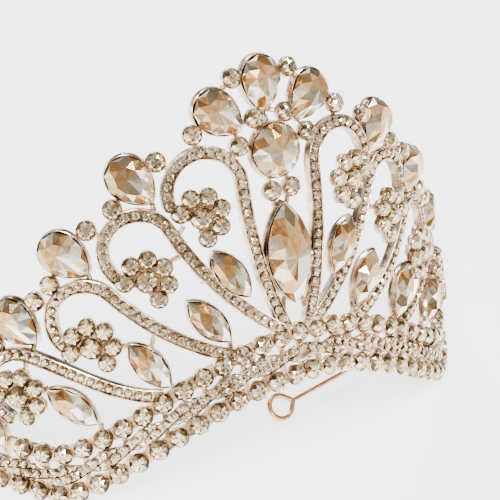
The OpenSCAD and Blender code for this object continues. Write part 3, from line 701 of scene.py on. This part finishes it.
def tube(points, across, d, closed):
    """Round tube along points, with across as its second sideways direction, closed or with round tips."""
    points, reach = np.asarray(points, float), np.full(len(points), d / 2)
    step = np.roll(points, -1, 0) - np.roll(points, 1, 0) if closed else np.gradient(points, axis=0)
    step /= np.linalg.norm(step, axis=1)[:, None]
    if not closed:
        tip = np.sin(np.linspace(tip_start, np.pi / 2, tip_rings))[:, None]
        drop = np.sqrt(1 - tip ** 2)
        points = np.concatenate([points[:1] - step[:1] * drop * d / 2, points[1:-1],
                                 points[-1:] + step[-1:] * drop[::-1] * d / 2])
        reach = np.concatenate([tip[:, 0] * d / 2, reach[1:-1], tip[::-1, 0] * d / 2])
        step = np.concatenate([np.repeat(step[:1], tip_rings, 0), step[1:-1],
                               np.repeat(step[-1:], tip_rings, 0)])
    side = np.cross(across, step)
    a = 2 * np.pi * np.arange(tube_sides) / tube_sides
    rings = points[:, None] + reach[:, None, None] * (np.cos(a)[None, :, None] * side[:, None]
                                                      + np.sin(a)[None, :, None] * across)
    n, q = len(points), tube_sides
    i, k = np.meshgrid(np.arange(n if closed else n - 1), np.arange(q), indexing="ij")
    j, m = (k + 1) % q, (i + 1) % n
    sides = np.stack([i * q + k, m * q + k, m * q + j, i * q + j], -1).reshape(-1, 4)
    ends = [] if closed else [np.stack([np.arange(q), (n - 1) * q + np.arange(q)[::-1]])]
    return rings.reshape(-1, 3), [sides, *ends], [0] * (1 + len(ends))


# Columns: name, side, heading at the post, radius and turn of the bend, and the straight run to the loop
wires = [("pin_wire_right", 1, np.pi - post_turn, 21.0, np.radians(62.2), 44.0),
         ("pin_wire_left", -1, post_turn, 68.0, np.radians(44), 8.1)]
for name, sign, heading, bend_r, bend_turn, run in wires:
    forth = np.array([-np.sin(heading), np.cos(heading), 0])
    inward = np.array([np.cos(heading), np.sin(heading), 0])
    foot = np.array([sign * post_x, post_y, wire_z]) - forth * (post_l / 2 - wire_inset)
    a = np.linspace(0, bend_turn, bend_points)[:, None]
    bend = foot + forth * (post_l + wire_lead) + bend_r * (inward * (1 - np.cos(a)) + forth * np.sin(a))
    ahead = forth * np.cos(bend_turn) + inward * np.sin(bend_turn)
    beside = inward * np.cos(bend_turn) - forth * np.sin(bend_turn)
    middle = bend[-1] + ahead * (run + loop_r)
    stem = np.concatenate([foot[None], bend, (middle - ahead * (loop_r * loop_length + loop_short))[None]])
    leant = np.array([0, 0, np.cos(loop_lean)]) + beside * np.sin(loop_lean)
    turn = np.linspace(-np.pi, np.pi, loop_points, endpoint=False)[:, None]
    pinch = pinch_depth * np.exp(-(turn / pinch_turn) ** 2)
    ring = middle - ahead * (loop_r * loop_length + pinch) * np.cos(turn) + leant * loop_r * np.sin(turn)
    wire = tube(stem, np.array([0, 0, 1.0]), wire_d, False)
    loop = tube(ring, np.cross(ahead, leant), loop_wire_d, True)
    make_piece("drawn_" + name, [wire, loop], wire_metal, "wire_metal", name)


# The crown stands on a plain white table under soft studio lights, seen from its left side and above.
# The table is a flat sheet that shines a little by itself, and the surroundings are pale panels.
half = 3.0
table_mesh = bpy.data.meshes.new("table")
table_mesh.from_pydata([(-half, -half, 0), (half, -half, 0), (half, half, 0), (-half, half, 0)], [],
                       [(0, 1, 2, 3)])
table = bpy.data.objects.new("table", table_mesh)
bpy.context.scene.collection.objects.link(table)
paper = bpy.data.materials.new("white_paper")
paper.use_nodes = True
paper.node_tree.nodes["Principled BSDF"].inputs["Base Color"].default_value = (0.97, 0.97, 0.97, 1)
paper.node_tree.nodes["Principled BSDF"].inputs["Roughness"].default_value = 0.9
paper.node_tree.nodes["Principled BSDF"].inputs["Emission Color"].default_value = (1, 1, 1, 1)
paper.node_tree.nodes["Principled BSDF"].inputs["Emission Strength"].default_value = 2.4
table_mesh.materials.append(paper)

studio = bpy.data.worlds.new("studio")
bpy.context.scene.world = studio
studio.use_nodes = True
nodes, links = studio.node_tree.nodes, studio.node_tree.links
where = nodes.new("ShaderNodeTexCoord")
panels = nodes.new("ShaderNodeTexNoise")
panels.inputs["Scale"].default_value = 2.6
panels.inputs["Detail"].default_value = 1
sky = nodes.new("ShaderNodeValToRGB")
sky.color_ramp.elements[0].position, sky.color_ramp.elements[0].color = 0.4, (0.05, 0.045, 0.04, 1)
sky.color_ramp.elements[1].position, sky.color_ramp.elements[1].color = 0.58, (1, 1, 1, 1)
sky.color_ramp.elements.new(0.49).color = (0.22, 0.215, 0.21, 1)
links.new(where.outputs["Generated"], panels.inputs["Vector"])
links.new(panels.outputs["Fac"], sky.inputs["Fac"])
links.new(sky.outputs["Color"], nodes["Background"].inputs["Color"])
nodes["Background"].inputs["Strength"].default_value = 1.7


def soft_light(name, place, size, watts):
    """Square soft light that faces the crown."""
    data = bpy.data.lights.new(name, "AREA")
    data.size, data.energy = size, watts
    light = bpy.data.objects.new(name, data)
    bpy.context.scene.collection.objects.link(light)
    light.location = place
    light.rotation_euler = (Vector((0, 0, 0.04)) - Vector(place)).to_track_quat("-Z", "Y").to_euler()


soft_light("key_light", (-0.5, -0.6, 0.9), 0.3, 16)
soft_light("fill_light", (0.8, -0.5, 0.5), 0.25, 2.5)
soft_light("back_light", (0.1, 0.8, 0.8), 0.4, 7)
# Small lamps make glints on single facets
glint_places = [(-0.7, -0.8, 0.35), (0.0, -1.0, 0.75), (0.3, -0.4, 1.1)]
for number, place in enumerate(glint_places, 1):
    soft_light(f"glint_light_{number}", place, 0.06, 2.5)

camera_place, camera_aim = Vector((-0.18442, -0.31008, 0.24324)), Vector((-0.01243, -0.05182, 0.06070))
camera_roll, camera_lens = np.radians(-3.39), 118.6
camera_data = bpy.data.cameras.new("camera")
camera_data.lens, camera_data.clip_start = camera_lens, 0.01
camera = bpy.data.objects.new("camera", camera_data)
bpy.context.scene.collection.objects.link(camera)
facing = (camera_aim - camera_place).to_track_quat("-Z", "Y").to_matrix()
turned = facing @ Matrix.Rotation(-camera_roll, 3, "Z")
camera.matrix_world = Matrix.Translation(camera_place) @ turned.to_4x4()
bpy.context.scene.camera = camera
